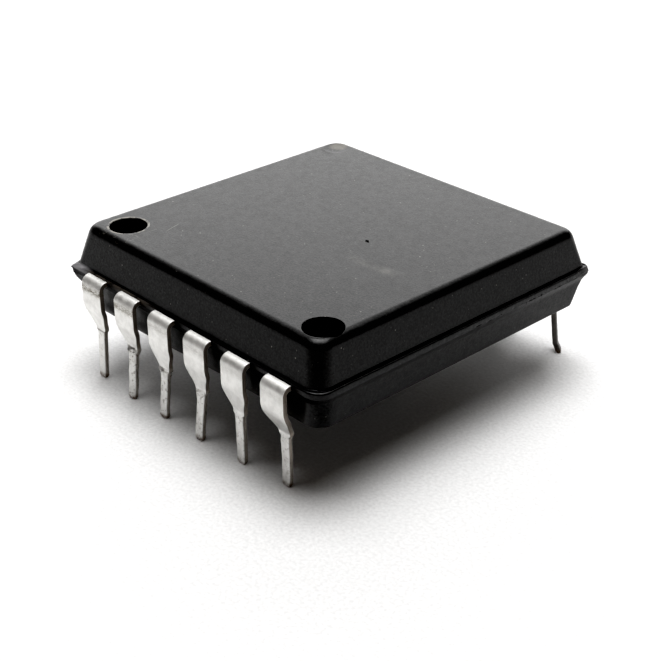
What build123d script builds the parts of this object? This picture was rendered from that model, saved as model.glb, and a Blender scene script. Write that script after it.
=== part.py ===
from build123d import *
import os
from math import hypot

# Through-hole dual in-line chip package: a black moulded epoxy block round a stamped
# lead frame, six leads on each of two sides. Millimetres, +Z up, pin tips on z = 0,
# X along the lead rows, Y across them, origin under the centre of the package.

# ---------------------------------------------------------------- driving dimensions
PITCH = 2.54            # lead pitch along X
ROW_SPACING = 17.78     # nominal spacing of the two pin rows, centre to centre
PINS_PER_SIDE = 6

BOTTOM_Z = 3.25         # underside of the block above the pin tips
FLARE_Z = 4.70          # where the lower half starts to flare out to the lip
LIP_LOW_Z = 5.00        # lower edge of the lip at the parting line
LEDGE_Z = 5.31          # ledge on top of the lip, foot of the upper half
TOP_Z = 7.21            # top face

BOTTOM_X, BOTTOM_Y = 16.32, 16.48      # underside, between the edge roundings
FLARE_X, FLARE_Y = 16.92, 17.06
LIP_X, LIP_Y = 17.28, 17.42            # widest outline, at the lip
FOOT_X, FOOT_Y = 16.84, 16.98          # foot of the upper half on the ledge
CROWN_X, CROWN_Y = 16.07, 16.21        # upper half where it meets the top plane
TOP_EDGE_R = 0.45
BOTTOM_EDGE_R = 0.15
LIP_EDGE_R = 0.07
CORNER_R = 0.42         # side corners of the lower half
CORNER_R_LIP = 0.25     # side corners of the lip
CORNER_R_FOOT = 0.34    # side corners at the foot of the upper half
CORNER_R_CROWN = 0.72   # the same corners at the top, where they are rounder
CORNER_R_PIT = 0.80     # near corner and back corner

RECESS_D = 1.75         # round ejector recesses in the top face
RECESS_DEPTH = 0.90
RECESS_AT = [(-6.45, -6.74), (7.02, -6.90)]
DIMPLE_D = 1.45         # shallow dimple in the back corner of the top face
DIMPLE_DEPTH = 0.10
DIMPLE_AT = (-7.08, 7.12)

LEAD_T = 0.25           # lead frame sheet thickness
LEAD_Z = 5.075          # middle of the sheet inside the block
SHOULDER_W = 1.42       # wide part of a lead
STEP_W = 0.70           # width just above the step
PIN_W = 0.48            # thin lower pin
SHOULDER_Y = 9.045      # middle plane of the wide part, from the centre
BEND_R = 0.275          # bend radius on the middle of the sheet
TAPER_TOP_Z = 3.60
STEP_Z = 2.52
PIN_TOP_Z = 2.40
KNEE_Z = 3.80           # where the wide part starts to lean inwards

PADDLE_X, PADDLE_Y = 7.2, 6.0
TIE_W = 0.8
TIE_END_X = 8.2
ATTACH_T = 0.05
DIE_X, DIE_Y, DIE_T = 3.4, 3.0, 0.30
FINGER_GAP_Y = 3.65     # inner ends of the fingers, from the centre
FINGER_NECK_Y = 7.7
FINGER_END_W = 0.75
FINGER_FAN = 0.55       # how far the inner ends fan in, as a share of the lead's X
WIRE_D = 0.12
WIRE_RISE = 0.75        # top of the wire loop above the lead frame's upper face
WIRE_R = 0.20

# One row per lead: number, X, side of the block (-1 near row, +1 far row),
# middle plane at the step, middle plane at the tip, sideways offset of the tip,
# sideways kink of the last 0.45 mm.
LEADS = [
    (1, -6.35, -1, 8.68, 8.83, 0.02, 0.00),
    (2, -3.81, -1, 8.69, 8.99, 0.06, 0.00),
    (3, -1.27, -1, 8.80, 8.94, -0.12, 0.00),
    (4, 1.27, -1, 8.74, 8.93, -0.10, 0.00),
    (5, 3.81, -1, 8.72, 8.75, 0.06, 0.00),
    (6, 6.35, -1, 8.38, 8.46, 0.12, 0.00),
    (7, 6.35, 1, 8.92, 8.95, 0.34, 0.22),
    (8, 3.81, 1, 8.76, 8.86, -0.04, 0.00),
    (9, 1.27, 1, 8.80, 8.92, 0.05, 0.00),
    (10, -1.27, 1, 8.78, 8.88, 0.00, 0.00),
    (11, -3.81, 1, 8.74, 8.90, -0.06, 0.00),
    (12, -6.35, 1, 8.76, 8.85, 0.03, 0.00),
]

FRAME_TOP = LEAD_Z + LEAD_T / 2
FRAME_LOW = LEAD_Z - LEAD_T / 2
DIE_TOP = FRAME_TOP + ATTACH_T + DIE_T

os.makedirs("parts", exist_ok=True)


def offset_points(pts, d):
    """Corner points of a polyline moved sideways by d, to its left."""
    normals = []
    for p, q in zip(pts[:-1], pts[1:]):
        n = hypot(q[0] - p[0], q[1] - p[1])
        normals.append((-(q[1] - p[1]) / n, (q[0] - p[0]) / n))
    out = []
    for i, p in enumerate(pts):
        n1 = normals[max(i - 1, 0)]
        n2 = normals[min(i, len(normals) - 1)]
        k = d / (1 + n1[0] * n2[0] + n1[1] * n2[1])
        out.append((p[0] + k * (n1[0] + n2[0]), p[1] + k * (n1[1] + n2[1])))
    return out


def make_lead(number, x0, side, y_step, y_tip, dx, kink):
    """One stamped and bent lead: finger in the block, bend, shoulder, taper, step, pin."""
    # middle line of the sheet seen along X, from inside the block to the pin tip
    path = [
        (side * 7.6, LEAD_Z),
        (side * SHOULDER_Y, LEAD_Z),
        (side * SHOULDER_Y, KNEE_Z),
        (side * y_step, STEP_Z + 0.12),
        (side * y_tip, 0.0),
    ]
    radii = [BEND_R, 1.2, 0.5]
    # which way each corner turns decides which face gets the larger radius
    turn = [1, 1, -1] if side < 0 else [-1, -1, 1]
    h = LEAD_T / 2
    left = offset_points(path, h)
    right = offset_points(path, -h)
    r_left = [r - h * s for r, s in zip(radii, turn)]
    r_right = [r + h * s for r, s in zip(radii, turn)]
    # the tip ends are cut level with the board plane
    left[-1] = (left[-1][0], 0.0)
    right[-1] = (right[-1][0], 0.0)
    half = SHOULDER_W / 2
    with BuildPart() as lead:
        with BuildSketch(Plane.YZ.offset(x0 - half - 0.3)):
            with BuildLine():
                FilletPolyline(*left, radius=r_left)
                Line(left[-1], right[-1])
                FilletPolyline(*right, radius=r_right)
                Line(right[0], left[0])
            make_face()
        extrude(amount=SHOULDER_W + 0.9)
        # front outline: wide shoulder, taper, small step, thin pin
        s, p = STEP_W / 2, PIN_W / 2
        k = kink
        with BuildSketch(Plane.XZ):
            with BuildLine():
                Line((x0 - half, FRAME_TOP + 0.3), (x0 - half, TAPER_TOP_Z))
                Spline(
                    (x0 - half, TAPER_TOP_Z),
                    (x0 - 0.60, 3.22),
                    (x0 - s - 0.03, STEP_Z + 0.22),
                    (x0 - s, STEP_Z),
                    tangents=((0, -1), (0, -1)),
                )
                Polyline(
                    (x0 - s, STEP_Z),
                    (x0 - p, PIN_TOP_Z),
                    (x0 - p + dx, 0.50),
                    (x0 - p + dx + 0.9 * k, 0.06),
                    (x0 - p + dx + k + 0.07, 0.0),
                    (x0 + p + dx + k - 0.07, 0.0),
                    (x0 + p + dx + k, 0.06),
                    (x0 + p + dx, 0.50),
                    (x0 + p, PIN_TOP_Z),
                    (x0 + s, STEP_Z),
                )
                Spline(
                    (x0 + s, STEP_Z),
                    (x0 + s + 0.03, STEP_Z + 0.22),
                    (x0 + 0.60, 3.22),
                    (x0 + half, TAPER_TOP_Z),
                    tangents=((0, 1), (0, 1)),
                )
                Polyline(
                    (x0 + half, TAPER_TOP_Z),
                    (x0 + half, FRAME_TOP + 0.3),
                    (x0 - half, FRAME_TOP + 0.3),
                )
            make_face()
        extrude(amount=12, both=True, mode=Mode.INTERSECT)
        # flat finger inside the block, fanning in towards the die
        xe = x0 * FINGER_FAN
        e = FINGER_END_W / 2
        with BuildSketch(Plane.XY.offset(FRAME_LOW)):
            with BuildLine():
                Polyline(
                    (x0 - half, side * 7.9),
                    (x0 - half, side * FINGER_NECK_Y),
                    (x0 * 0.93 - e, side * 6.6),
                    (xe - e, side * 4.6),
                    (xe - e, side * FINGER_GAP_Y),
                    (xe + e, side * FINGER_GAP_Y),
                    (xe + e, side * 4.6),
                    (x0 * 0.93 + e, side * 6.6),
                    (x0 + half, side * FINGER_NECK_Y),
                    (x0 + half, side * 7.9),
                    close=True,
                )
            make_face()
        extrude(amount=LEAD_T)
    name = f"lead_{number:02d}"
    lead.part.label = name
    export_step(lead.part, f"parts/{name}.step")
    return lead.part


def make_wire(number, x0, side):
    """Bond wire: up from the die, over, and down onto the finger's inner end."""
    xe = x0 * FINGER_FAN
    xd = max(-DIE_X / 2 + 0.35, min(DIE_X / 2 - 0.35, x0 * 0.215))
    yd = side * (DIE_Y / 2 - 0.28)
    start = (xd, yd)
    end = (xe, side * (FINGER_GAP_Y + 0.35))
    run = hypot(end[0] - start[0], end[1] - start[1])
    ux, uy = (end[0] - start[0]) / run, (end[1] - start[1]) / run
    loop = Plane(origin=(start[0], start[1], 0), x_dir=(ux, uy, 0), z_dir=(uy, -ux, 0))
    top = FRAME_TOP + WIRE_RISE
    with BuildPart() as wire:
        with BuildLine(loop) as route:
            FilletPolyline(
                (0, DIE_TOP),
                (0, top),
                (0.45 * run, top - 0.02),
                (run, FRAME_TOP + 0.30),
                (run, FRAME_TOP),
                radius=[WIRE_R, WIRE_R, 0.16],
            )
        with BuildSketch(Plane(origin=(start[0], start[1], DIE_TOP), z_dir=(0, 0, 1))):
            Circle(WIRE_D / 2)
        sweep(path=route.wires()[0])
    name = f"bond_wire_{number:02d}"
    wire.part.label = name
    export_step(wire.part, f"parts/{name}.step")
    return wire.part


leads = [make_lead(*row) for row in LEADS]
wires = [make_wire(row[0], row[1], row[2]) for row in LEADS]

# flag of the lead frame with its two tie bars, which end inside the block
with BuildPart() as die_paddle:
    with BuildSketch(Plane.XY.offset(FRAME_LOW)):
        RectangleRounded(PADDLE_X, PADDLE_Y, 0.3)
        Rectangle(2 * TIE_END_X, TIE_W)
    extrude(amount=LEAD_T)
die_paddle.part.label = "die_paddle"
export_step(die_paddle.part, "parts/die_paddle.step")

# solder layer under the die
with BuildPart() as die_attach:
    with BuildSketch(Plane.XY.offset(FRAME_TOP)):
        RectangleRounded(DIE_X + 0.3, DIE_Y + 0.3, 0.15)
    extrude(amount=ATTACH_T)
die_attach.part.label = "die_attach"
export_step(die_attach.part, "parts/die_attach.step")

# silicon die
with BuildPart() as die:
    with BuildSketch(Plane.XY.offset(FRAME_TOP + ATTACH_T)):
        Rectangle(DIE_X, DIE_Y)
    extrude(amount=DIE_T)
die.part.label = "die"
export_step(die.part, "parts/die.step")


# moulded block: lower half, flare, lip, ledge and upper half
with BuildPart() as moulded_body:
    with BuildSketch(Plane.XY.offset(BOTTOM_Z)) as s0:
        Rectangle(BOTTOM_X, BOTTOM_Y)
        fillet([v for v in s0.vertices() if v.X * v.Y < 0], CORNER_R_PIT)
        fillet([v for v in s0.vertices() if v.X * v.Y > 55], CORNER_R)
    with BuildSketch(Plane.XY.offset(FLARE_Z)) as s1:
        Rectangle(FLARE_X, FLARE_Y)
        fillet([v for v in s1.vertices() if v.X * v.Y < 0], CORNER_R_PIT)
        fillet([v for v in s1.vertices() if v.X * v.Y > 55], CORNER_R)
    loft(ruled=True)
    bottom_edges = moulded_body.faces().sort_by(Axis.Z)[0].edges()
    fillet(bottom_edges, BOTTOM_EDGE_R)
    with BuildSketch(Plane.XY.offset(FLARE_Z)) as s2:
        Rectangle(FLARE_X, FLARE_Y)
        fillet([v for v in s2.vertices() if v.X * v.Y < 0], CORNER_R_PIT)
        fillet([v for v in s2.vertices() if v.X * v.Y > 55], CORNER_R)
    with BuildSketch(Plane.XY.offset(LIP_LOW_Z)) as s3:
        Rectangle(LIP_X - 0.04, LIP_Y - 0.04)
        fillet([v for v in s3.vertices() if v.X * v.Y < 0], CORNER_R_PIT)
        fillet([v for v in s3.vertices() if v.X * v.Y > 55], CORNER_R_LIP)
    loft(ruled=True)
    with BuildSketch(Plane.XY.offset(LIP_LOW_Z)) as s4:
        Rectangle(LIP_X, LIP_Y)
        fillet([v for v in s4.vertices() if v.X * v.Y < 0], CORNER_R_PIT)
        fillet([v for v in s4.vertices() if v.X * v.Y > 55], CORNER_R_LIP)
    extrude(amount=LEDGE_Z - LIP_LOW_Z)
    ledge_edges = moulded_body.faces().sort_by(Axis.Z)[-1].edges()
    fillet(ledge_edges, LIP_EDGE_R)
    with BuildSketch(Plane.XY.offset(LEDGE_Z)) as s5:
        Rectangle(FOOT_X, FOOT_Y)
        fillet([v for v in s5.vertices() if v.X * v.Y < 0], CORNER_R_PIT)
        fillet([v for v in s5.vertices() if v.X * v.Y > 55], CORNER_R_FOOT)
    with BuildSketch(Plane.XY.offset(TOP_Z)) as s6:
        Rectangle(CROWN_X, CROWN_Y)
        fillet([v for v in s6.vertices() if v.X * v.Y < 0], CORNER_R_PIT)
        fillet([v for v in s6.vertices() if v.X * v.Y > 55], CORNER_R_CROWN)
    loft(ruled=True)
    crown_edges = moulded_body.faces().sort_by(Axis.Z)[-1].edges()
    fillet(crown_edges, TOP_EDGE_R)
    # round recesses left by the ejector pins of the mould
    with BuildSketch(Plane.XY.offset(TOP_Z)):
        with Locations(*RECESS_AT):
            Circle(RECESS_D / 2)
    extrude(amount=-RECESS_DEPTH, taper=4, mode=Mode.SUBTRACT)
    # shallow dimple with a sloping wall
    with BuildSketch(Plane.XY.offset(TOP_Z)):
        with Locations(DIMPLE_AT):
            Circle(DIMPLE_D / 2)
    extrude(amount=-DIMPLE_DEPTH, taper=50, mode=Mode.SUBTRACT)
    # the block is cast round the frame, the die and the wires
    for piece in leads:
        add(piece, mode=Mode.SUBTRACT)
    add(die_paddle.part, mode=Mode.SUBTRACT)
    add(die_attach.part, mode=Mode.SUBTRACT)
    add(die.part, mode=Mode.SUBTRACT)
    for piece in wires:
        add(piece, mode=Mode.SUBTRACT)
moulded_body.part.label = "moulded_body"
export_step(moulded_body.part, "parts/moulded_body.step")
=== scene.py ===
import math

import bmesh
import bpy
import numpy as np
from mathutils import Matrix, Vector, noise


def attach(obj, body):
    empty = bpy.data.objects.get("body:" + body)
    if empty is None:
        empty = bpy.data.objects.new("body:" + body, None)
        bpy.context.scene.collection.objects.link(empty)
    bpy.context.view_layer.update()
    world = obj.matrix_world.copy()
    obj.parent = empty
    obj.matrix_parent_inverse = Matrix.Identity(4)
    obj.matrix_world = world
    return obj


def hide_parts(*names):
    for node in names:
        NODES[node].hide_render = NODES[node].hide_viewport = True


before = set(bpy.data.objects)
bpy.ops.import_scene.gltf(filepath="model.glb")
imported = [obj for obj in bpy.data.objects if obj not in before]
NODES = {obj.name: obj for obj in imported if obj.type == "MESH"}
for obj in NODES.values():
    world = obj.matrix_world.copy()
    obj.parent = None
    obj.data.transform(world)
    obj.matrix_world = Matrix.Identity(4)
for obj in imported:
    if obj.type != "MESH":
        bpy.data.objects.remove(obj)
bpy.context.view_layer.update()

# All sizes below are in millimetres and are turned into metres when a mesh is made.
MM = 0.001


def clamp(x, lo=0.0, hi=1.0):
    return max(lo, min(hi, x))


def smooth(x, a, b):
    """0 at a, 1 at b, smooth between."""
    t = clamp((x - a) / (b - a))
    return t * t * (3 - 2 * t)


def fbm(x, y, z, octaves=3):
    """Smooth seeded noise, about -1 to 1."""
    v, amp, tot = 0.0, 1.0, 0.0
    p = Vector((x, y, z))
    for _ in range(octaves):
        v += amp * noise.noise(p)
        tot += amp
        amp *= 0.5
        p = p * 2.03 + Vector((7.3, 1.7, 4.1))
    return v / tot


def new_mesh_object(name, verts, faces, attributes=None):
    me = bpy.data.meshes.new(name)
    me.from_pydata([(x * MM, y * MM, z * MM) for x, y, z in verts], [], faces)
    for key, values in (attributes or {}).items():
        a = me.attributes.new(key, "FLOAT", "POINT")
        a.data.foreach_set("value", np.asarray(values, np.float32))
    me.validate()
    me.update()
    ob = bpy.data.objects.new(name, me)
    bpy.context.scene.collection.objects.link(ob)
    return ob


# ------------------------------------------------------------------ moulded block
BOTTOM_Z, FLARE_Z, LIP_LOW_Z, LEDGE_Z, TOP_Z = 3.25, 4.70, 5.00, 5.31, 7.20
R_PIT = 0.80
RECESSES = [(-6.45, -6.74), (7.02, -6.90)]
RECESS_R, RECESS_DEPTH = 0.875, 0.89
DIMPLE_AT = (-7.08, 7.12)
SMEAR_AT = (5.16, -1.47)
TOP_R, BOTTOM_R = 0.45, 0.15

N_SIDE, N_CORNER = 240, 16


def outline(hx, hy, rl, rr, rp):
    """Points of a rounded rectangle, anticlockwise from the near corner (+X, -Y), with
    the same count on every ring. rl and rr are the radii of the left and right corner,
    rp that of the near and back corner."""
    rl, rr, rp = max(rl, 0.02), max(rr, 0.02), max(rp, 0.02)
    corners = [(1, -1, rp, -90), (1, 1, rr, 0), (-1, 1, rp, 90), (-1, -1, rl, 180)]
    pts = []
    for i, (sx, sy, r, a0) in enumerate(corners):
        cx, cy = sx * (hx - r), sy * (hy - r)
        for k in range(N_CORNER + 1):
            a = math.radians(a0 + 90 * k / N_CORNER)
            pts.append((cx + r * math.cos(a), cy + r * math.sin(a)))
        sx2, sy2, r2, b0 = corners[(i + 1) % 4]
        ex = sx2 * (hx - r2) + r2 * math.cos(math.radians(b0))
        ey = sy2 * (hy - r2) + r2 * math.sin(math.radians(b0))
        px, py = pts[-1]
        for k in range(1, N_SIDE + 1):
            t = k / (N_SIDE + 1)
            pts.append((px + (ex - px) * t, py + (ey - py) * t))
    return pts


def upper_radii(z):
    """Left and right corner radius of the upper half, which grow towards the top."""
    t = clamp((z - 5.34) / (TOP_Z - 5.34))
    return 0.42 + 0.40 * t, 0.22 + 0.40 * t


def block_rings():
    """The block's profile from the underside to the top: (half x, half y, left, right
    and pit corner radius, z, part)."""
    rings = []
    # rounding of the lower edge
    ax = math.atan2(8.46 - 8.16, FLARE_Z - BOTTOM_Z)
    s = BOTTOM_R * (1 - math.sin(ax)) / math.cos(ax)
    rings.append((8.16 - s - 0.05, 8.24 - s - 0.05, 0.30, 0.24, R_PIT - s - 0.05, BOTTOM_Z, "base"))
    for k in range(7):
        phi = (math.pi / 2 - ax) * k / 6
        dx = -s + BOTTOM_R * math.sin(phi)
        z = BOTTOM_Z + BOTTOM_R * (1 - math.cos(phi))
        rings.append((8.16 + dx, 8.24 + dx, 0.42 + dx, 0.34 + dx, R_PIT + dx, z, "low"))
    # lower wall
    x0, y0, z0 = rings[-1][0], rings[-1][1], rings[-1][5]
    for k in range(1, 13):
        t = k / 12
        z = z0 + (4.68 - z0) * t
        rings.append((x0 + (8.45 - x0) * t, y0 + (8.52 - y0) * t, 0.42 - 0.30 * smooth(z, 4.0, 4.6),
                      0.36 - 0.08 * smooth(z, 4.2, 4.7), R_PIT, z, "wall_low"))
    # flare and lip
    for h, z in [(0.012, 4.72), (0.035, 4.77), (0.070, 4.83), (0.105, 4.89), (0.140, 4.95), (0.158, 4.985)]:
        rings.append((8.46 + h, 8.53 + h, 0.09, 0.26, R_PIT, z, "flare"))
    for h, z in [(0.172, 5.005), (0.178, 5.03), (0.179, 5.055), (0.180, 5.08), (0.180, 5.12), (0.180, 5.16),
                 (0.179, 5.20), (0.176, 5.235), (0.168, 5.265), (0.154, 5.287), (0.134, 5.300), (0.110, 5.307)]:
        rings.append((8.46 + h, 8.53 + h, 0.06, 0.25, R_PIT, z, "lip"))
    for h, rl, z in [(0.090, 0.10, 5.306), (0.068, 0.13, 5.300), (0.035, 0.22, 5.298), (0.0, 0.32, 5.298)]:
        rings.append((8.46 + h, 8.53 + h, rl, 0.24, R_PIT, z, "ledge"))
    # small radius at the foot of the upper wall
    for h, z in [(-0.025, 5.300), (-0.038, 5.312), (-0.045, 5.334)]:
        rl, rr = upper_radii(z)
        rings.append((8.46 + h, 8.53 + h, rl, rr, R_PIT, z, "foot"))
    # upper wall
    au = math.atan2(8.42 - 8.035, 7.21 - LEDGE_Z)
    s = TOP_R * (1 - math.sin(au)) / math.cos(au)
    zc = TOP_Z - TOP_R
    arc = []
    for k in range(15):
        phi = (math.pi / 2 - au) * (1 - k / 14)
        arc.append((-s + TOP_R * math.sin(phi), zc + TOP_R * math.cos(phi)))
    xa, za = 8.035 + arc[0][0], arc[0][1]
    ya = 8.105 + arc[0][0]
    for t in (0.010, 0.025, 0.05, 0.09, 0.14, 0.20, 0.28, 0.38, 0.50, 0.62, 0.75, 0.88, 0.96):
        z = 5.342 + (za - 5.342) * t
        rl, rr = upper_radii(z)
        rings.append((8.415 + (xa - 8.415) * t, 8.485 + (ya - 8.485) * t, rl, rr, R_PIT, z, "wall_up"))
    for dx, z in arc:
        wall = math.tan(au) * (TOP_Z - z)
        rl, rr = upper_radii(z)
        rings.append((8.035 + dx, 8.105 + dx, rl + dx - wall, rr + dx - wall, R_PIT + dx - wall, z, "crown"))
    hx, hy, rl, rr, rp = rings[-1][:5]
    rings.append((hx - 0.04, hy - 0.04, rl - 0.04, rr - 0.04, rp - 0.04, TOP_Z, "flat"))
    return rings


def corner_weight(x, y, sx, sy, reach):
    """1 at the block's corner on that side, fading with distance along the edges."""
    d = math.hypot(min(0.0, x * sx - 8.45), min(0.0, y * sy - 8.5))
    return math.exp(-(d / reach) ** 2)


def shape_block(x, y, z, part, nx, ny, h):
    """Small departures of the real moulding from its plain form. h is how far the ring
    stands out from the upper wall's foot."""
    z_in = z
    # on the left and far sides the ledge lies a little lower
    low = smooth(x, 8.2, 7.2) * smooth(y, 8.2, 7.2)
    if low > 0.001 and z_in > 5.1:
        if part in ("lip", "ledge", "foot"):
            drop = 0.04 * clamp((z_in - 5.10) / 0.20)
            z -= drop * low
        if part in ("foot", "wall_up"):
            t = 1 - clamp((z_in - 5.30) / 1.3)
            if part == "wall_up":
                z -= 0.04 * t * low
            out = 0.008 * t * low
            x += nx * out
            y += ny * out
    # left corner: thin flash, drawn out to a sharp point that droops, thick at its root
    w = corner_weight(x, y, -1, -1, 0.62)
    if w > 0.01:
        if part in ("lip", "ledge"):
            slope = 5.22 - 0.235 * clamp(h / 0.180) ** 0.9
            if z_in <= 5.17 and part == "lip":
                slope = 4.965 + 0.02 * (z_in - 5.0) / 0.17
            z += (slope - z) * w
        elif part in ("foot", "wall_up"):
            z -= 0.04 * w * (1 - clamp((z_in - 5.30) / 1.3))
        elif part == "flare":
            z -= 0.03 * w
        if part in ("flare", "wall_low"):
            push = 0.115 * smooth(z_in, 4.05, 4.55) * (1 - smooth(z_in, 4.65, 5.0))
            w2 = corner_weight(x, y, -1, -1, 0.38)
            x -= push * w2
            y -= push * w2
    # right corner: the lip is a little higher and rounder
    w = corner_weight(x, y, 1, 1, 0.60)
    if w > 0.01 and part in ("lip", "ledge", "foot"):
        up = 0.055 if (part != "lip" or z > 5.2) else 0.03
        z += up * w
    # groove between the flash on the lip and the upper wall on the right-hand side
    if h < 0.085 and part in ("ledge", "foot") and x > 8.2:
        deep = 0.115 * smooth(y, -8.55, -7.6)
        deep *= 1 - 0.7 * corner_weight(x, y, 1, 1, 0.5)
        z -= deep * (0.55 if h > 0.05 else 1.0) * (0.6 if part == "foot" and z_in > 5.32 else 1.0)
    # the right corner's lip is worn round
    w = corner_weight(x, y, 1, 1, 0.75)
    if w > 0.01 and part == "lip":
        pull = 0.075 * w * smooth(z_in, 5.03, 5.30) + 0.02 * w * smooth(z_in, 5.03, 5.0)
        x -= nx * pull
        y -= ny * pull
    # the lower edge of the left-hand face is fuller towards the left corner, and rounder
    if part in ("base", "low", "wall_low") and y < -7.0:
        f = smooth(x, 3.0, -5.0) * smooth(y, -7.0, -8.0)
        g = smooth(z_in, 3.9, 3.4)
        z -= 0.16 * f * smooth(z_in, 4.0, 3.4)
        y -= 0.08 * f * g
        k = clamp((3.62 - z_in) / 0.37)
        if y < -8.0:
            y += 0.12 * k * k * smooth(x, 7.0, 4.0)
    # unevenness of the flash along the parting line
    if part in ("lip", "ledge"):
        n = fbm(x * 2.3, y * 2.3, 3.1, 3)
        f = fbm(x * 8.0, y * 8.0, 8.7, 3)
        rough = 0.008
        if y < -8:
            rough = 0.008 + 0.020 * smooth(x, -1.0, -2.2)
        if x > 8:
            rough = 0.010 + 0.016 * smooth(y, -3.0, 0.0)
        cut = 0.010 * n + rough * max(0.0, f)
        # seam under the flash on the right-hand side, broken and deeper towards the right corner
        if x > 8.2 and part == "lip" and z_in < 5.11:
            run = smooth(y, -4.0, 3.0)
            g = fbm(y * 4.3 + 4.0, 2.2, 0.4, 3) - 0.02
            line = math.exp(-((z_in - 5.050 - 0.02 * fbm(y * 1.9, 5.5, 1.0, 2)) / 0.018) ** 2)
            cut += run * 0.034 * clamp(g * 3.0) * line
        x -= nx * abs(cut)
        y -= ny * abs(cut)
        if part == "lip" and z_in > 5.2 or part == "ledge":
            z -= 0.6 * rough * max(0.0, -f)
    elif part in ("crown", "low"):
        n = fbm(x * 1.3, y * 1.3, z, 2)
        x -= nx * 0.006 * abs(n)
        y -= ny * 0.006 * abs(n)
    elif part == "wall_low":
        n = fbm(x * 1.6, y * 1.6, z * 1.6, 3)
        x -= nx * 0.010 * abs(n)
        y -= ny * 0.010 * abs(n)
    x = clamp(x, -8.64, 8.64)
    y = clamp(y, -8.71, 8.71)
    return x, y, z


def make_block():
    rings = block_rings()
    verts, faces = [], []
    n = None
    for hx, hy, rl, rr, rp, z, part in rings:
        pts = outline(hx, hy, rl, rr, rp)
        n = len(pts)
        for i, (x, y) in enumerate(pts):
            ax, ay = pts[(i - 1) % n]
            bx, by = pts[(i + 1) % n]
            tx, ty = bx - ax, by - ay
            l = math.hypot(tx, ty) or 1.0
            verts.append(shape_block(x, y, z, part, ty / l, -tx / l, hx - 8.46))
    for j in range(len(rings) - 1):
        for i in range(n):
            a, b = j * n + i, j * n + (i + 1) % n
            faces.append((a, b, b + n, a + n))
    faces.append(tuple(range(n - 1, -1, -1)))
    top = (len(rings) - 1) * n
    faces.append(tuple(range(top, top + n)))
    return new_mesh_object("block_shell", verts, faces)


def lathe(name, x, y, profile, steps=96):
    """Closed solid of revolution about a vertical line; profile runs bottom to top as
    (radius, z), starting and ending on the axis."""
    verts, faces = [], []
    inner = profile[1:-1]
    verts.append((x, y, profile[0][1]))
    for r, z in inner:
        for k in range(steps):
            a = 2 * math.pi * k / steps
            verts.append((x + r * math.cos(a), y + r * math.sin(a), z))
    verts.append((x, y, profile[-1][1]))
    last = len(verts) - 1
    for k in range(steps):
        k2 = (k + 1) % steps
        faces.append((0, 1 + k2, 1 + k))
        for j in range(len(inner) - 1):
            a, b = 1 + j * steps, 1 + (j + 1) * steps
            faces.append((a + k, a + k2, b + k2, b + k))
        b = 1 + (len(inner) - 1) * steps
        faces.append((b + k, b + k2, last))
    return new_mesh_object(name, verts, faces)


def pit(name, x, y, z, r, seed):
    """Small uneven ball, used to cut a pit."""
    bm = bmesh.new()
    bmesh.ops.create_icosphere(bm, subdivisions=2, radius=1.0)
    for v in bm.verts:
        k = r * (1 + 0.45 * noise.noise(v.co * 1.7 + Vector((seed, seed * 1.3, 0))))
        v.co = Vector((x, y, z)) + v.co * k
        v.co *= MM
    me = bpy.data.meshes.new(name)
    bm.to_mesh(me)
    bm.free()
    ob = bpy.data.objects.new(name, me)
    bpy.context.scene.collection.objects.link(ob)
    return ob


def cut_with(body, cutters):
    """Cuts each cutter out of body, one after another, and removes them."""
    for tool in cutters:
        mod = body.modifiers.new("cut", "BOOLEAN")
        mod.operation = "DIFFERENCE"
        mod.solver = "EXACT"
        mod.object = tool
        dg = bpy.context.evaluated_depsgraph_get()
        dg.update()
        made = bpy.data.meshes.new_from_object(body.evaluated_get(dg))
        body.modifiers.clear()
        old = body.data
        body.data = made
        bpy.data.meshes.remove(old)
        data = tool.data
        bpy.data.objects.remove(tool)
        bpy.data.meshes.remove(data)


body = make_block()
cutters = []
for i, (rx, ry) in enumerate(RECESSES):
    zb = TOP_Z - RECESS_DEPTH
    rb = RECESS_R - RECESS_DEPTH * math.tan(math.radians(4))
    profile = [(0, zb), (rb - 0.06, zb), (rb - 0.02, zb + 0.015), (rb, zb + 0.06)]
    for k in range(1, 7):
        t = k / 7
        profile.append((rb + (RECESS_R - rb) * t, zb + 0.06 + (RECESS_DEPTH - 0.10) * t))
    profile += [(RECESS_R + 0.002, TOP_Z - 0.030), (RECESS_R + 0.010, TOP_Z - 0.014),
                (RECESS_R + 0.026, TOP_Z - 0.004), (RECESS_R + 0.034, TOP_Z + 0.001),
                (RECESS_R + 0.04, TOP_Z + 0.3), (0, TOP_Z + 0.3)]
    cutters.append(lathe("recess_%d" % i, rx, ry, profile))
cutters.append(lathe("dimple", DIMPLE_AT[0], DIMPLE_AT[1], [
    (0, TOP_Z - 0.024), (0.20, TOP_Z - 0.0235), (0.36, TOP_Z - 0.021), (0.46, TOP_Z - 0.017), (0.54, TOP_Z - 0.012),
    (0.61, TOP_Z - 0.007), (0.67, TOP_Z - 0.003), (0.72, TOP_Z + 0.0005), (0.73, TOP_Z + 0.3), (0, TOP_Z + 0.3)]))
# pits in the flash on the right-hand side
for k, (py, pz, pr) in enumerate([(5.10, 5.06, 0.060), (5.34, 5.10, 0.036), (4.55, 5.08, 0.034), (4.05, 5.02, 0.042),
                                  (3.72, 5.10, 0.030), (6.95, 5.12, 0.040), (7.20, 5.08, 0.030), (2.30, 5.06, 0.030),
                                  (6.10, 5.02, 0.026)]):
    cutters.append(pit("pit_side_%d" % k, 8.645, py, pz, pr, 3.0 + k * 1.7))
cutters.append(pit("pit_top", 2.36, 0.13, TOP_Z + 0.005, 0.095, 2.0))
cutters.append(pit("pit_top_b", 2.47, 0.08, TOP_Z + 0.010, 0.070, 5.0))
cut_with(body, cutters)
body.name = "block"
body.data.name = "block"
for p in body.data.polygons:
    p.use_smooth = True
body.data.set_sharp_from_angle(angle=math.radians(38))
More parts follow.
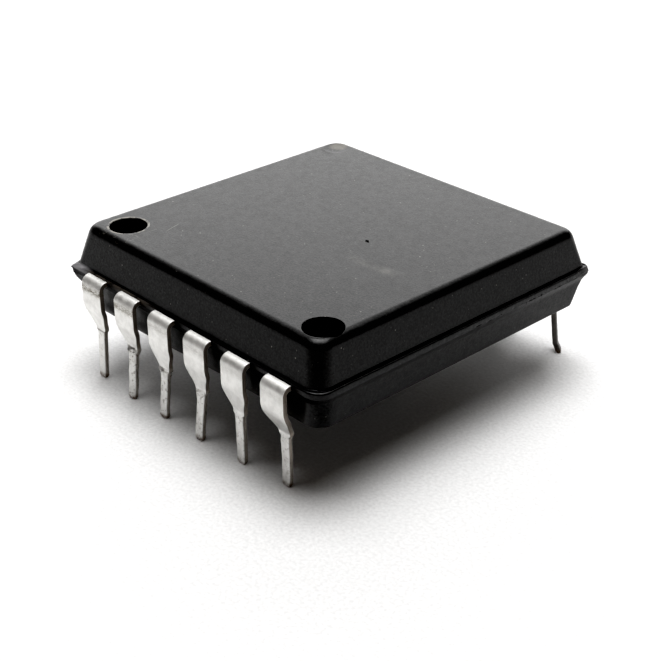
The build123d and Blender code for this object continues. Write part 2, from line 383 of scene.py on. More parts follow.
# normals weighted by face size, so that the large flat faces stay flat up to their edges
mod = body.modifiers.new("flat", "WEIGHTED_NORMAL")
mod.mode = "FACE_AREA"
mod.weight = 100
mod.keep_sharp = True
dg = bpy.context.evaluated_depsgraph_get()
dg.update()
made = bpy.data.meshes.new_from_object(body.evaluated_get(dg))
body.modifiers.clear()
old = body.data
body.data = made
bpy.data.meshes.remove(old)
body.data.name = "block"


# ------------------------------------------------------------------ leads
LEAD_T, LEAD_Z, SHOULDER_Y = 0.25, 5.075, 9.045
LEADS = [
    # number, x, side, y at the step, y at the tip, sideways drift, kink
    (1, -6.35, -1, 8.68, 8.83, 0.02, 0.00),
    (2, -3.81, -1, 8.69, 8.99, 0.06, 0.00),
    (3, -1.27, -1, 8.80, 8.94, -0.12, 0.00),
    (4, 1.27, -1, 8.74, 8.93, -0.10, 0.00),
    (5, 3.81, -1, 8.72, 8.75, 0.06, 0.00),
    (6, 6.35, -1, 8.38, 8.46, 0.12, 0.00),
    (7, 6.35, 1, 8.92, 8.95, 0.36, 0.26),
    (8, 3.81, 1, 8.76, 8.86, -0.04, 0.00),
    (9, 1.27, 1, 8.80, 8.92, 0.05, 0.00),
    (10, -1.27, 1, 8.78, 8.88, 0.00, 0.00),
    (11, -3.81, 1, 8.74, 8.90, -0.06, 0.00),
    (12, -6.35, 1, 8.76, 8.85, 0.03, 0.00),
]
# solder lumps at the step, solder on the pin, scuffing of the bend
WEAR = {
    1: (0.15, 0.35, 1.0), 2: (1.25, 1.0, 0.85), 3: (0.90, 0.85, 0.30), 4: (0.65, 0.7, 0.2),
    5: (0.30, 0.55, 0.12), 6: (0.30, 0.55, 0.12), 7: (0.5, 0.4, 0.5), 8: (0.7, 0.6, 0.5),
    9: (0.4, 0.6, 0.4), 10: (0.6, 0.4, 0.3), 11: (0.8, 0.7, 0.6), 12: (0.3, 0.4, 0.5),
}
# painted shadow line across the step, under its lower edge
STEP_SHADOW_LINE = {1: 1.0, 3: 0.7, 9: 0.6, 12: 0.8}
HALF_W = [(0.0, 0.236), (2.30, 0.240), (2.38, 0.243), (2.42, 0.262), (2.47, 0.318), (2.51, 0.344),
          (2.60, 0.353), (2.70, 0.370), (2.82, 0.408), (2.95, 0.460), (3.08, 0.520), (3.22, 0.590),
          (3.34, 0.645), (3.46, 0.685), (3.56, 0.704), (3.66, 0.710), (9.0, 0.710)]


# how far a pin is turned about its own upright line, in degrees
TWIST = {7: -53.0, 10: 8.0, 12: -6.0}


def rounded_path(points, radii, step):
    """Samples a polyline with arcs in its corners: (y, z, ty, tz), about step apart."""
    pts = [Vector(p) for p in points]
    pieces = []
    cur = pts[0]
    for i, r in enumerate(radii, 1):
        a = (pts[i] - pts[i - 1]).normalized()
        b = (pts[i + 1] - pts[i]).normalized()
        turn = math.acos(clamp(a.dot(b), -1, 1))
        cut = r * math.tan(turn / 2)
        p, q = pts[i] - a * cut, pts[i] + b * cut
        pieces.append(("line", cur, p, a))
        sgn = 1 if a.x * b.y - a.y * b.x > 0 else -1
        nrm = Vector((-a.y, a.x)) * sgn
        pieces.append(("arc", p + nrm * r, r, -nrm, a, turn))
        cur = q
    pieces.append(("line", cur, pts[-1], (pts[-1] - cur).normalized()))
    out = []
    for piece in pieces:
        if piece[0] == "line":
            _, p, q, d = piece
            n = max(1, round((q - p).length / step))
            for k in range(n):
                s = p + (q - p) * (k / n)
                out.append((s.x, s.y, d.x, d.y))
        else:
            _, c, r, n0, a, turn = piece
            n = max(4, round(r * turn / step), round(turn / math.radians(7)))
            for k in range(n):
                t = turn * k / n
                s = c + n0 * (r * math.cos(t)) + a * (r * math.sin(t))
                d = a * math.cos(t) - n0 * math.sin(t)
                out.append((s.x, s.y, d.x, d.y))
    _, p, q, d = pieces[-1]
    out.append((q.x, q.y, d.x, d.y))
    return out


def section(w, t, r, nf, ns):
    """Outline of a rounded bar section, width w along u, thickness t along v, starting
    at the middle of the outer face's left end: (u, v, nu, nv, side)."""
    r = min(r, t * 0.48, w * 0.48)
    hw, ht = w / 2 - r, t / 2 - r
    pts = []

    def arc(cu, cv, a0):
        for k in range(1, 4):
            a = math.radians(a0 - 90 * k / 4)
            pts.append((cu + r * math.cos(a), cv + r * math.sin(a), math.cos(a), math.sin(a), 0.5))

    for k in range(nf + 1):
        pts.append((-hw + 2 * hw * k / nf, t / 2, 0, 1, 0.0))
    arc(hw, ht, 90)
    for k in range(ns + 1):
        pts.append((w / 2, ht - 2 * ht * k / ns, 1, 0, 1.0))
    arc(hw, -ht, 0)
    for k in range(nf + 1):
        pts.append((hw - 2 * hw * k / nf, -t / 2, 0, -1, 0.0))
    arc(-hw, -ht, -90)
    for k in range(ns + 1):
        pts.append((-w / 2, -ht + 2 * ht * k / ns, -1, 0, 1.0))
    arc(-hw, ht, 180)
    return pts


def lead_piece(number, x0, side, y_step, y_tip, drift, kink):
    lumps, coat, scuff = WEAR[number]
    path = rounded_path(
        [(side * 8.15, LEAD_Z), (side * SHOULDER_Y, LEAD_Z), (side * SHOULDER_Y, 3.80),
         (side * y_step, 2.64), (side * y_tip, 0.0)],
        [0.275, 1.2, 0.5], 0.05)
    nf, ns = 14, 3
    verts, faces = [], []
    solder, sides, scuffs, inners, steps, lead7_pin_shades = [], [], [], [], [], []
    count = len(section(1, 0.25, 0.03, nf, ns))
    bent = [i for i, p in enumerate(path) if abs(p[0]) > 8.9]
    first = bent[0] if bent else 0
    length = 0.0
    for j, (y, z, ty, tz) in enumerate(path):
        if j:
            length += math.hypot(y - path[j - 1][0], z - path[j - 1][1])
        # outward normal of the outer face, in the YZ plane
        if side < 0:
            ny, nz = tz, -ty
        else:
            ny, nz = -tz, ty
        level = z if abs(y) > 8.7 or z < 4.5 else 9.0
        hw = float(np.interp(level, [a for a, _ in HALF_W], [b for _, b in HALF_W]))
        down = clamp((2.40 - z) / 1.9) if level < 9 else 0.0
        if number == 7 and level < 9:
            down = clamp((3.0 - z) / 2.5)
        xc = x0 + drift * down
        if kink and z < 0.50:
            xc += kink * smooth(z, 0.50, 0.0)
        if number == 7 and level < 9:
            xc += 0.09 * smooth(z, 3.0, 2.4)
        on_pin = smooth(level, 2.50, 2.36) if level < 9 else 0.0
        twist = math.radians(TWIST.get(number, 0.0)) * (smooth(z, 2.9, 1.9) if level < 9 else 0.0)
        near_step = math.exp(-((level - 2.40) / 0.20) ** 2) if level < 9 else 0.0
        t = LEAD_T * (1 + 0.10 * coat * on_pin)
        r = 0.035 + 0.055 * coat * on_pin
        tip = smooth(z, 0.10, 0.0) if level < 9 else 0.0
        hw *= 1 - 0.16 * tip
        t *= 1 - 0.18 * tip
        r += 0.03 * tip
        back = -0.012 * on_pin * (1 - coat)
        for u, v, nu, nv, s in section(2 * hw, t, r, nf, ns):
            # the pin turns about its own upright line
            q = ny * (v + back)
            px = xc + u * math.cos(twist) - q * math.sin(twist)
            py = y + u * math.sin(twist) + q * math.cos(twist)
            pz = z + nz * (v + back)
            amp = 0.004
            lump = lumps * near_step
            d = amp * fbm(px * 6, py * 6 + number * 9.1, pz * 4, 2)
            if lump > 0.02:
                n1 = fbm(px * 5.1 + number * 3.7, py * 5.1, pz * 5.1, 3)
                d += lump * (0.040 + 0.15 * n1)
            if on_pin > 0:
                n2 = fbm(px * 3.3 + number * 2.1, py * 3.3, pz * 2.2, 3)
                d += coat * on_pin * (0.010 + 0.060 * n2) * (1 - tip)
            if s < 0.5 and level >= 2.6:
                d = min(d, 0.0) - 0.001
            px += (nu * math.cos(twist) - ny * nv * math.sin(twist)) * d
            py += (nu * math.sin(twist) + ny * nv * math.cos(twist)) * d
            pz += nz * nv * d
            py = clamp(py, -9.17, 9.17)
            verts.append((px, py, max(pz, 0.0)))
            solder.append(clamp(lump * 1.1 + coat * on_pin * 0.75))
            sides.append(s)
            # lead 7's pin below z 3.2 is marked for painted shade
            lead7_pin_shades.append(1.0 if number == 7 and level < 3.2 else 0.0)
            q = math.exp(-((z - 4.66) / 0.16) ** 2) if abs(y) > 8.9 else 0.0
            scuffs.append(scuff * q)
            inners.append(smooth(nv, -0.2, -0.8) * (smooth(level, 3.2, 3.6) if level < 9 else 1.0))
            # painted shadow under the step's lower edge
            q = STEP_SHADOW_LINE.get(number, 0.0)
            steps.append(q * math.exp(-((level - 2.455) / 0.035) ** 2) if level < 9 else 0.0)
    rows = len(path)
    for j in range(rows - 1):
        for i in range(count):
            a, b = j * count + i, j * count + (i + 1) % count
            quad = (a, b, b + count, a + count)
            faces.append(quad if side < 0 else quad[::-1])
    cap0 = tuple(range(count))
    cap1 = tuple(range((rows - 1) * count, rows * count))
    faces.append(cap0[::-1] if side < 0 else cap0)
    faces.append(cap1 if side < 0 else cap1[::-1])
    name = "lead_%02d_tinned" % number
    ob = new_mesh_object(name, verts, faces, {"solder": solder, "sheared": sides, "scuff": scuffs,
                                              "inner": inners, "step": steps, "lead7_pin_shade": lead7_pin_shades})
    bm = bmesh.new()
    bm.from_mesh(ob.data)
    bmesh.ops.recalc_face_normals(bm, faces=bm.faces)
    bm.to_mesh(ob.data)
    bm.free()
    for p in ob.data.polygons:
        p.use_smooth = True
    ob.data.set_sharp_from_angle(angle=math.radians(45))
    return ob


leads = [lead_piece(*row) for row in LEADS]


# ------------------------------------------------------------------ materials
class Tree:
    """Short hand for building a node tree."""

    def __init__(self, name):
        self.m = bpy.data.materials.new(name)
        self.m.use_nodes = True
        self.t = self.m.node_tree
        self.t.nodes.clear()
        self.out = self.t.nodes.new("ShaderNodeOutputMaterial")
        self.bsdf = self.t.nodes.new("ShaderNodeBsdfPrincipled")
        self.link(self.bsdf.outputs[0], self.out.inputs[0])
        self.coord = self.node("ShaderNodeTexCoord").outputs["Object"]
        self.mm = self.vec("SCALE", self.coord, scale=1000.0)

    def node(self, kind, **props):
        n = self.t.nodes.new(kind)
        for k, v in props.items():
            setattr(n, k, v)
        return n

    def link(self, a, b):
        self.t.links.new(a, b)

    def put(self, socket, value):
        if isinstance(value, bpy.types.NodeSocket):
            self.link(value, socket)
        else:
            socket.default_value = value

    def vec(self, op, a, b=None, scale=None):
        n = self.node("ShaderNodeVectorMath", operation=op)
        self.put(n.inputs[0], a)
        if b is not None:
            self.put(n.inputs[1], b)
        if scale is not None:
            n.inputs["Scale"].default_value = scale
        return n.outputs["Value"] if op in ("DOT_PRODUCT", "LENGTH", "DISTANCE") else n.outputs["Vector"]

    def math(self, op, a, b=0.0, c=0.0, clamp=False):
        n = self.node("ShaderNodeMath", operation=op, use_clamp=clamp)
        self.put(n.inputs[0], a)
        self.put(n.inputs[1], b)
        self.put(n.inputs[2], c)
        return n.outputs[0]

    def ramp(self, x, a, b, lo=0.0, hi=1.0):
        n = self.node("ShaderNodeMapRange", interpolation_type="SMOOTHSTEP", clamp=True)
        self.put(n.inputs["Value"], x)
        n.inputs["From Min"].default_value = a
        n.inputs["From Max"].default_value = b
        n.inputs["To Min"].default_value = lo
        n.inputs["To Max"].default_value = hi
        return n.outputs["Result"]

    def noise(self, scale, detail=2.0, rough=0.5, at=None, stretch=None):
        p = at if at is not None else self.mm
        if stretch is not None:
            p = self.vec("MULTIPLY", p, stretch)
        n = self.node("ShaderNodeTexNoise")
        self.link(p, n.inputs["Vector"])
        n.inputs["Scale"].default_value = scale
        n.inputs["Detail"].default_value = detail
        n.inputs["Roughness"].default_value = rough
        return n.outputs["Fac"]

    def cells(self, scale, feature="F1", at=None, randomness=1.0):
        n = self.node("ShaderNodeTexVoronoi", feature=feature)
        self.link(at if at is not None else self.mm, n.inputs["Vector"])
        n.inputs["Scale"].default_value = scale
        n.inputs["Randomness"].default_value = randomness
        return n

    def mix(self, fac, a, b):
        n = self.node("ShaderNodeMix", data_type="RGBA")
        self.put(n.inputs["Factor"], fac)
        self.put(n.inputs["A"], a)
        self.put(n.inputs["B"], b)
        return [s for s in n.outputs if s.type == "RGBA"][0]

    def attribute(self, name):
        return self.node("ShaderNodeAttribute", attribute_name=name).outputs["Fac"]

    def bump(self, height, strength, distance, normal=None):
        n = self.node("ShaderNodeBump")
        n.inputs["Strength"].default_value = strength
        n.inputs["Distance"].default_value = distance
        self.link(height, n.inputs["Height"])
        if normal is not None:
            self.link(normal, n.inputs["Normal"])
        return n.outputs["Normal"]

    def xyz(self):
        n = self.node("ShaderNodeSeparateXYZ")
        self.link(self.mm, n.inputs[0])
        return n.outputs

    def specks(self, scale, outer, inner, share, where=None):
        """Small round specks, one in the chosen share of the cells."""
        v = self.cells(scale)
        size = self.ramp(v.outputs["Distance"], outer, inner)
        col = self.node("ShaderNodeSeparateColor")
        self.link(v.outputs["Color"], col.inputs[0])
        m = self.math("MULTIPLY", size, self.ramp(col.outputs[0], share, share + 0.02))
        m = self.math("MULTIPLY", m, self.ramp(col.outputs[1], 0.0, 1.0, 0.35, 1.0))
        return m if where is None else self.math("MULTIPLY", m, where)

    def ring(self, centre, radius, width):
        """1 on a ring round an upright line on the top face, 0 away from it."""
        x, y, z = self.xyz()
        dx = self.math("SUBTRACT", x, centre[0])
        dy = self.math("SUBTRACT", y, centre[1])
        d = self.math("SQRT", self.math("ADD", self.math("MULTIPLY", dx, dx), self.math("MULTIPLY", dy, dy)))
        m = self.ramp(self.math("ABSOLUTE", self.math("SUBTRACT", d, radius)), width, width * 0.45)
        return self.math("MULTIPLY", m, self.ramp(z, 6.95, 7.05))

    def stroke(self, a, b, width):
        """1 on a straight stroke on the top face from a to b, 0 away from it."""
        ax, ay = a
        bx, by = b
        ux, uy = bx - ax, by - ay
        l = math.hypot(ux, uy)
        ux, uy = ux / l, uy / l
        x, y, z = self.xyz()
        dx = self.math("SUBTRACT", x, ax)
        dy = self.math("SUBTRACT", y, ay)
        along = self.math("ADD", self.math("MULTIPLY", dx, ux), self.math("MULTIPLY", dy, uy))
        across = self.math("ABSOLUTE", self.math("ADD", self.math("MULTIPLY", dx, -uy),
                                                  self.math("MULTIPLY", dy, ux)))
        m = self.ramp(across, width, width * 0.2)
        m = self.math("MULTIPLY", m, self.ramp(along, -0.1, 0.25))
        m = self.math("MULTIPLY", m, self.ramp(along, l + 0.1, l - 0.25))
        return self.math("MULTIPLY", m, self.ramp(z, 7.0, 7.15))


def moulding_material():
    t = Tree("moulding_compound")
    b = t.bsdf
    x, y, z = t.xyz()
    # body of the compound: near black, very slightly uneven
    mottle = t.noise(1.4, 4.0, 0.6)
    base = t.mix(t.ramp(mottle, 0.35, 0.65), (0.0024, 0.0024, 0.0027, 1), (0.0040, 0.0039, 0.0041, 1))
    # filler and dust specks, pale: many tiny ones and a few larger
    speck = t.specks(2.9, 0.135, 0.060, 0.52, t.ramp(t.noise(0.7, 2.0, 0.5), 0.36, 0.60))
    tiny = t.specks(6.0, 0.150, 0.090, 0.50)
    tiny = t.math("MULTIPLY", tiny, 0.28)
    speck = t.math("MAXIMUM", speck, tiny)
    # pale smear and two scratches on the top
    smear = t.stroke((2.9, -1.60), (6.3, -1.34), 0.50)
    smear = t.math("MULTIPLY", smear, t.ramp(t.noise(1.0, 3.0, 0.55), 0.30, 0.70))
    smear = t.math("ADD", smear, t.math("MULTIPLY", t.ring(SMEAR_AT, 0.0, 0.28), 0.9))
    broken = t.ramp(t.noise(3.3, 3.0, 0.6), 0.40, 0.56)
    line = t.stroke((-4.73, -5.86), (-5.01, -4.83), 0.040)
    line3 = t.stroke((-5.25, -6.45), (-5.22, -6.05), 0.030)
    line = t.math("MAXIMUM", t.math("MULTIPLY", line, broken), line3)
    marks = t.math("MAXIMUM", t.math("MULTIPLY", smear, 0.115), t.math("MULTIPLY", line, 0.30))
    # pale ring painted on the left recess's rim: a painted highlight
    ring = t.ring(RECESSES[0], 0.940, 0.075)
    ring = t.math("MULTIPLY", ring, t.ramp(t.noise(2.7, 4.0, 0.70), 0.40, 0.54))
    marks = t.math("MAXIMUM", marks, t.math("MULTIPLY", ring, 1.0))
    # dust between the left recess and the edge
    spill = t.ring((-5.9, -7.75), 0.0, 1.3)
    spill = t.math("MULTIPLY", spill, t.ramp(t.noise(5.5, 4.0, 0.7), 0.56, 0.66))
    marks = t.math("MAXIMUM", marks, t.math("MULTIPLY", spill, 0.35))
    pale = t.math("MAXIMUM", t.math("MULTIPLY", speck, 0.55), marks, clamp=True)
    colour = t.mix(pale, base, (0.30, 0.29, 0.265, 1))
    # pale painted highlight towards the back of the dish in the back corner, and a dark smudge at the dish
    painted_dish_highlight = t.ring((-7.20, 7.42), 0.0, 0.62)
    colour = t.mix(t.math("MULTIPLY", painted_dish_highlight, 0.26), colour, (0.34, 0.31, 0.24, 1))
    smudge = t.math("MULTIPLY", t.ring((-7.15, 6.75), 0.0, 0.75), t.ramp(z, 7.0, 7.1))
    # brown resin film on the ledge at the left end
    film = t.math("MULTIPLY", t.ramp(z, 5.04, 5.12), t.ramp(y, -8.56, -8.66))
    film = t.math("MULTIPLY", film, t.ramp(x, -1.4, -3.4))
    film = t.math("MULTIPLY", film, t.ramp(x, -7.6, -7.0))
    film = t.math("MULTIPLY", film, t.ramp(t.noise(3.4, 4.0, 0.65), 0.30, 0.62))
    colour = t.mix(t.math("MULTIPLY", film, 0.85), colour, (0.075, 0.064, 0.052, 1))
    # pale worn flash at the left corner, lightened further as a painted sheen; along the right-hand lip a painted
    # highlight
    fin = t.math("MULTIPLY", t.ramp(x, -6.8, -7.9), t.ramp(y, -8.44, -8.54))
    fin = t.math("MULTIPLY", fin, t.math("MULTIPLY", t.ramp(z, 4.97, 5.03), t.ramp(z, 5.34, 5.28)))
    colour = t.mix(t.math("MULTIPLY", fin, 0.90), colour, (0.30, 0.295, 0.305, 1))
    # lighter along the right-hand lip: a painted highlight
    rim = t.math("MULTIPLY", t.ramp(x, 8.50, 8.60), t.math("MULTIPLY", t.ramp(z, 5.02, 5.12), t.ramp(y, -4.0, 6.0)))
    rim = t.math("MULTIPLY", rim, t.ramp(t.noise(2.8, 4.0, 0.65), 0.25, 0.70))
    colour = t.mix(t.math("MULTIPLY", rim, 0.60), colour, (0.050, 0.049, 0.051, 1))
    nub = t.math("MULTIPLY", t.math("MULTIPLY", t.ramp(x, 8.20, 8.40), t.ramp(y, 8.00, 8.50)),
                 t.math("MULTIPLY", t.ramp(z, 4.95, 5.08), t.ramp(z, 5.50, 5.42)))
    colour = t.mix(t.math("MULTIPLY", nub, 0.85), colour, (0.155, 0.152, 0.155, 1))
    t.link(colour, b.inputs["Base Color"])
    rough = t.ramp(t.noise(3.1, 3.0, 0.55), 0.3, 0.7, 0.28, 0.35)
    film = t.math("MAXIMUM", film, t.math("MAXIMUM", fin, nub))
    rough = t.math("ADD", rough, t.math("MULTIPLY", film, 0.20))
    # the flare under the lip and the lower half's right-hand face are duller
    under = t.math("MULTIPLY", t.math("MULTIPLY", t.ramp(z, 4.60, 4.70), t.ramp(z, 5.06, 5.00)), t.ramp(y, -8.3, -8.45))
    under = t.math("MULTIPLY", under, t.ramp(x, 8.3, 8.0))
    right = t.math("MULTIPLY", t.ramp(x, 7.95, 8.12), t.ramp(z, 5.06, 4.98))
    rough = t.math("ADD", rough, t.math("MULTIPLY", under, 0.30))
    rough = t.math("ADD", rough, t.math("MULTIPLY", right, 0.10))
    left = t.math("MULTIPLY", t.ramp(y, -7.95, -8.10), t.ramp(z, 5.25, 5.40))
    # the lower half at the near corner gets less specular: painted shade
    near_corner_shade = t.math("MULTIPLY", t.math("MULTIPLY", t.ramp(x, 7.2, 8.0), t.ramp(y, -7.2, -8.0)), t.ramp(z, 5.00, 4.90))
    gloss = t.ramp(t.noise(10.0, 3.0, 0.65), 0.3, 0.7, 0.395, 0.605)
    gloss = t.math("SUBTRACT", gloss, t.math("MULTIPLY", under, 0.25))
    gloss = t.math("SUBTRACT", gloss, t.math("MULTIPLY", right, 0.09))
    gloss = t.math("SUBTRACT", gloss, t.math("MULTIPLY", left, 0.075))
    gloss = t.math("SUBTRACT", gloss, t.math("MULTIPLY", smudge, 0.14))
    gloss = t.math("SUBTRACT", gloss, t.math("MULTIPLY", near_corner_shade, 0.20), clamp=True)
    t.link(gloss, b.inputs["Specular IOR Level"])
    rough = t.math("ADD", rough, t.math("MULTIPLY", pale, 0.25), clamp=True)
    t.link(rough, b.inputs["Roughness"])
    b.inputs["IOR"].default_value = 1.41
    grain = t.noise(9.0, 3.0, 0.65)
    fine = t.noise(26.0, 2.0, 0.6)
    n1 = t.bump(grain, 0.35, 0.000012)
    n2 = t.bump(fine, 0.45, 0.000006, n1)
    t.link(n2, b.inputs["Normal"])
    return t.m


def tin_material():
    t = Tree("tin_plate")
    b = t.bsdf
    x, y, z = t.xyz()
    solder = t.attribute("solder")
    sheared = t.attribute("sheared")
    scuff = t.attribute("scuff")
    cloudy = t.noise(2.4, 4.0, 0.6)
    col = t.mix(t.ramp(cloudy, 0.35, 0.65), (0.76, 0.755, 0.735, 1), (0.86, 0.855, 0.835, 1))
    # sheared edges: bare, matt copper alloy, brown; darker above z 3.6, towards the block, as painted shade
    edge = t.ramp(t.math("ADD", sheared, t.math("MULTIPLY", t.math("SUBTRACT", cloudy, 0.5), 0.5)), 0.55, 0.85)
    bare_edge_and_shade = t.mix(t.ramp(z, 3.6, 2.6), (0.17, 0.135, 0.105, 1), (0.33, 0.285, 0.24, 1))
    col = t.mix(t.math("MULTIPLY", edge, 0.85), col, bare_edge_and_shade)
    # scuffed band under the bend, dirt specks
    grit = t.noise(9.0, 4.0, 0.7, stretch=(0.8, 1.0, 2.2))
    dirt = t.math("MULTIPLY", scuff, t.ramp(grit, 0.40, 0.55))
    col = t.mix(t.math("MULTIPLY", dirt, 0.70), col, (0.30, 0.27, 0.21, 1))
    # solder: greyer, with dark flux in its hollows
    flux = t.math("MULTIPLY", solder, t.ramp(t.noise(6.5, 3.0, 0.6), 0.54, 0.68))
    col = t.mix(t.math("MULTIPLY", solder, 0.45, clamp=True), col, (0.58, 0.58, 0.565, 1))
    col = t.mix(t.math("MULTIPLY", flux, 0.75, clamp=True), col, (0.16, 0.135, 0.105, 1))
    # painted shadow line across the step; inner faces, facing the block, darker
    col = t.mix(t.math("MULTIPLY", t.attribute("step"), 0.85), col, (0.13, 0.11, 0.09, 1))
    col = t.mix(t.math("MULTIPLY", t.attribute("inner"), 0.80), col, (0.22, 0.21, 0.19, 1))
    # lead 7's pin below z 3.2 painted dark grey: painted shade for its shaded side
    col = t.mix(t.math("MULTIPLY", t.attribute("lead7_pin_shade"), 0.85), col, (0.115, 0.112, 0.108, 1))
    # browned tips
    tip = t.ramp(z, 0.34, 0.05)
    tip = t.math("MULTIPLY", tip, t.ramp(t.noise(4.0, 3.0, 0.6), 0.30, 0.62))
    col = t.mix(t.math("MULTIPLY", tip, 0.85), col, (0.17, 0.115, 0.075, 1))
    t.link(col, b.inputs["Base Color"])
    b.inputs["Metallic"].default_value = 1.0
    rough = t.ramp(t.noise(5.0, 4.0, 0.6), 0.3, 0.7, 0.40, 0.52)
    rough = t.math("ADD", rough, t.ramp(z, 4.3, 4.7, 0.0, 0.12))
    rough = t.math("ADD", rough, t.math("MULTIPLY", t.math("ADD", dirt, tip), 0.25))
    rough = t.math("ADD", rough, t.math("MULTIPLY", edge, 0.12), clamp=True)
    t.link(rough, b.inputs["Roughness"])
    # drawing lines run down the lead, fine crystal grain over the plate
    lines = t.noise(7.0, 3.0, 0.6, stretch=(5.0, 1.0, 0.35))
    grain = t.noise(22.0, 2.0, 0.6)
    lump = t.noise(7.0, 3.0, 0.6)
    n = t.bump(lines, 0.14, 0.000010)
    n = t.bump(grain, 0.16, 0.000006, n)
    h = t.math("MULTIPLY", lump, solder)
    n = t.bump(h, 0.5, 0.00004, n)
    t.link(n, b.inputs["Normal"])
    return t.m


def hidden_material(name, colour_a, colour_b, rough, metal):
    """Plain procedural finish for the pieces sealed inside the block."""
    t = Tree(name)
    col = t.mix(t.ramp(t.noise(6.0, 3.0, 0.6), 0.3, 0.7), colour_a, colour_b)
    t.link(col, t.bsdf.inputs["Base Color"])
    t.bsdf.inputs["Metallic"].default_value = metal
    r = t.ramp(t.noise(11.0, 2.0, 0.5), 0.3, 0.7, rough * 0.85, rough * 1.15)
    t.link(r, t.bsdf.inputs["Roughness"])
    t.link(t.bump(t.noise(30.0, 2.0, 0.5), 0.2, 0.000005), t.bsdf.inputs["Normal"])
    return t.m


moulding = moulding_material()
tin = tin_material()
copper = hidden_material("lead_frame_copper", (0.62, 0.36, 0.24, 1), (0.74, 0.46, 0.32, 1), 0.35, 1.0)
solder_mat = hidden_material("solder_layer", (0.45, 0.45, 0.47, 1), (0.60, 0.60, 0.62, 1), 0.45, 1.0)
silicon = hidden_material("silicon_die", (0.16, 0.17, 0.21, 1), (0.22, 0.23, 0.28, 1), 0.12, 0.6)
wire = hidden_material("wire_aluminium", (0.72, 0.72, 0.74, 1), (0.85, 0.85, 0.87, 1), 0.25, 1.0)


def wear(ob, mat):
    ob.data.materials.clear()
    ob.data.materials.append(mat)


wear(body, moulding)
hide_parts("moulded_body")
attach(body, "root")
for row, ob in zip(LEADS, leads):
    wear(ob, tin)
    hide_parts("lead_%02d" % row[0])
    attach(ob, "root")

CAD_FINISH = {"die_paddle": copper, "die_attach": solder_mat, "die": silicon, "moulded_body": moulding}
for name, ob in NODES.items():
    mat = CAD_FINISH.get(name) or (wire if name.startswith("bond_wire") else tin)
    if not ob.material_slots:
        ob.data.materials.append(mat)
    for s in ob.material_slots:
        s.material = mat


# ------------------------------------------------------------------ floor, lights, camera
me = bpy.data.meshes.new("floor")
half = 1.0
me.from_pydata([(-half, -half, 0), (half, -half, 0), (half, half, 0), (-half, half, 0)], [], [(0, 1, 2, 3)])
floor = bpy.data.objects.new("floor", me)
bpy.context.scene.collection.objects.link(floor)
paper = bpy.data.materials.new("paper_floor")
paper.use_nodes = True
pb = paper.node_tree.nodes["Principled BSDF"]
tree = paper.node_tree
where = tree.nodes.new("ShaderNodeTexCoord")
fibre = tree.nodes.new("ShaderNodeTexNoise")
fibre.inputs["Scale"].default_value = 6500.0
fibre.inputs["Detail"].default_value = 3.0
fibre.inputs["Roughness"].default_value = 0.6
tree.links.new(where.outputs["Object"], fibre.inputs["Vector"])
shade = tree.nodes.new("ShaderNodeMapRange")
shade.inputs["From Min"].default_value = 0.3
shade.inputs["From Max"].default_value = 0.7
shade.inputs["To Min"].default_value = 0.79
shade.inputs["To Max"].default_value = 0.93
tree.links.new(fibre.outputs["Fac"], shade.inputs["Value"])
grey = tree.nodes.new("ShaderNodeCombineColor")
for k in range(3):
    tree.links.new(shade.outputs["Result"], grey.inputs[k])
tree.links.new(grey.outputs[0], pb.inputs["Base Color"])
tooth = tree.nodes.new("ShaderNodeBump")
tooth.inputs["Strength"].default_value = 0.5
tooth.inputs["Distance"].default_value = 0.00001
tree.links.new(fibre.outputs["Fac"], tooth.inputs["Height"])
tree.links.new(tooth.outputs["Normal"], pb.inputs["Normal"])
pb.inputs["Roughness"].default_value = 0.9
pb.inputs["Specular IOR Level"].default_value = 0.2
floor.data.materials.append(paper)


def area_light(name, at, towards, size_x, size_y, radiance, glossy=True, diffuse=True, colour=(1, 1, 1)):
    """Soft rectangular light whose face has that radiance."""
    data = bpy.data.lights.new(name, "AREA")
    data.shape = "RECTANGLE"
    data.size, data.size_y = size_x, size_y
    data.energy = radiance * math.pi * size_x * size_y
    data.color = colour
    ob = bpy.data.objects.new(name, data)
    bpy.context.scene.collection.objects.link(ob)
    ob.location = at
    d = Vector(towards) - Vector(at)
    ob.rotation_mode = "QUATERNION"
    ob.rotation_quaternion = d.to_track_quat("-Z", "Y")
    ob.visible_glossy = glossy
    ob.visible_diffuse = diffuse
    return ob


# broad soft box overhead, a little behind the object
area_light("overhead", (-0.034, 0.034, 0.30), (0, 0, 0), 0.235, 0.235, 6.1)


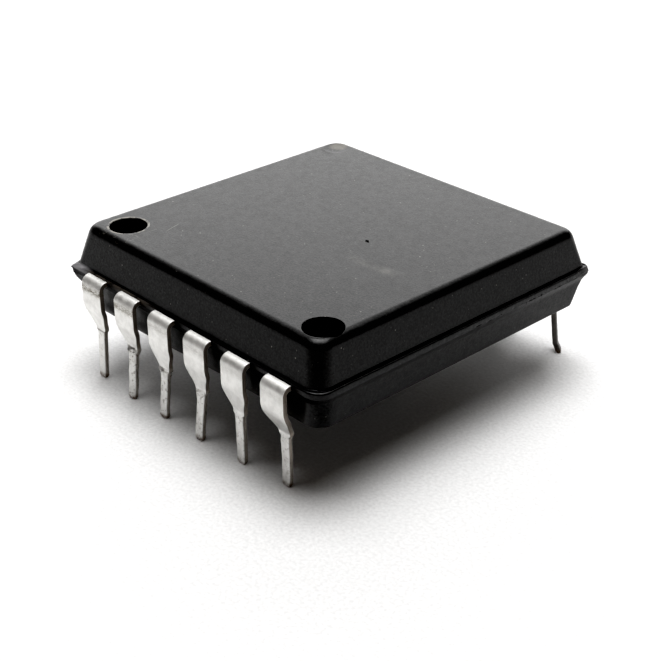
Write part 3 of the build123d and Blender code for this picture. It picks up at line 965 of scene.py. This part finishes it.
def panel(name, azimuth, width, low, high, radiance, distance=0.47, diffuse=True):
    """Upright pale panel round the object; azimuth is counted from +X towards +Y."""
    a = math.radians(azimuth)
    z = (low + high) / 2
    area_light(name, (distance * math.cos(a), distance * math.sin(a), z), (0, 0, z), width, high - low,
               radiance, diffuse=diffuse)


# pale panels behind the object and at its sides, seen in the block's faces
panel("backdrop", 135, 0.62, 0.045, 0.40, 2.25)
panel("backdrop_right", 76, 0.34, 0.002, 0.08, 0.75)
panel("backdrop_left", 194, 0.34, 0.002, 0.08, 0.45)

world = bpy.data.worlds.new("studio")
bpy.context.scene.world = world
world.use_nodes = True
world.node_tree.nodes["Background"].inputs[0].default_value = (1.0, 0.87, 0.76, 1)
world.node_tree.nodes["Background"].inputs[1].default_value = 0.055

cam_data = bpy.data.cameras.new("camera")
cam_data.lens = 36.0 * 1373.455 / 661.0
cam_data.sensor_width = 36.0
cam_data.sensor_fit = "HORIZONTAL"
cam_data.clip_start, cam_data.clip_end = 0.005, 10.0
cam = bpy.data.objects.new("camera", cam_data)
bpy.context.scene.collection.objects.link(cam)
az, el = math.radians(46.830), math.radians(28.487)
back = Vector((math.sin(az) * math.cos(el), -math.cos(az) * math.cos(el), math.sin(el)))
right = Vector((0, 0, 1)).cross(back).normalized()
up = back.cross(right)
m = Matrix((right, up, back)).transposed().to_4x4()
m.translation = Vector((42.5535, -39.8384, 33.329)) * MM
cam.matrix_world = m
bpy.context.scene.camera = cam

vs = bpy.context.scene.view_settings
vs.view_transform = "Standard"
vs.look = "None"
# the photograph's deep blacks and clean whites
vs.use_curve_mapping = True
cm = vs.curve_mapping
cm.use_clip = False
curve = cm.curves[3]
TONE = [(0.0, 0.0), (0.0123, 0.0004), (0.0185, 0.0030), (0.041, 0.0160), (0.070, 0.040), (0.127, 0.091),
        (0.20, 0.170), (0.305, 0.287), (0.577, 0.617), (0.871, 1.0), (1.0, 1.15)]
curve.points[0].location = TONE[0]
curve.points[1].location = TONE[-1]
for q in TONE[1:-1]:
    curve.points.new(*q)
for q in curve.points:
    q.handle_type = "VECTOR"
cm.update()
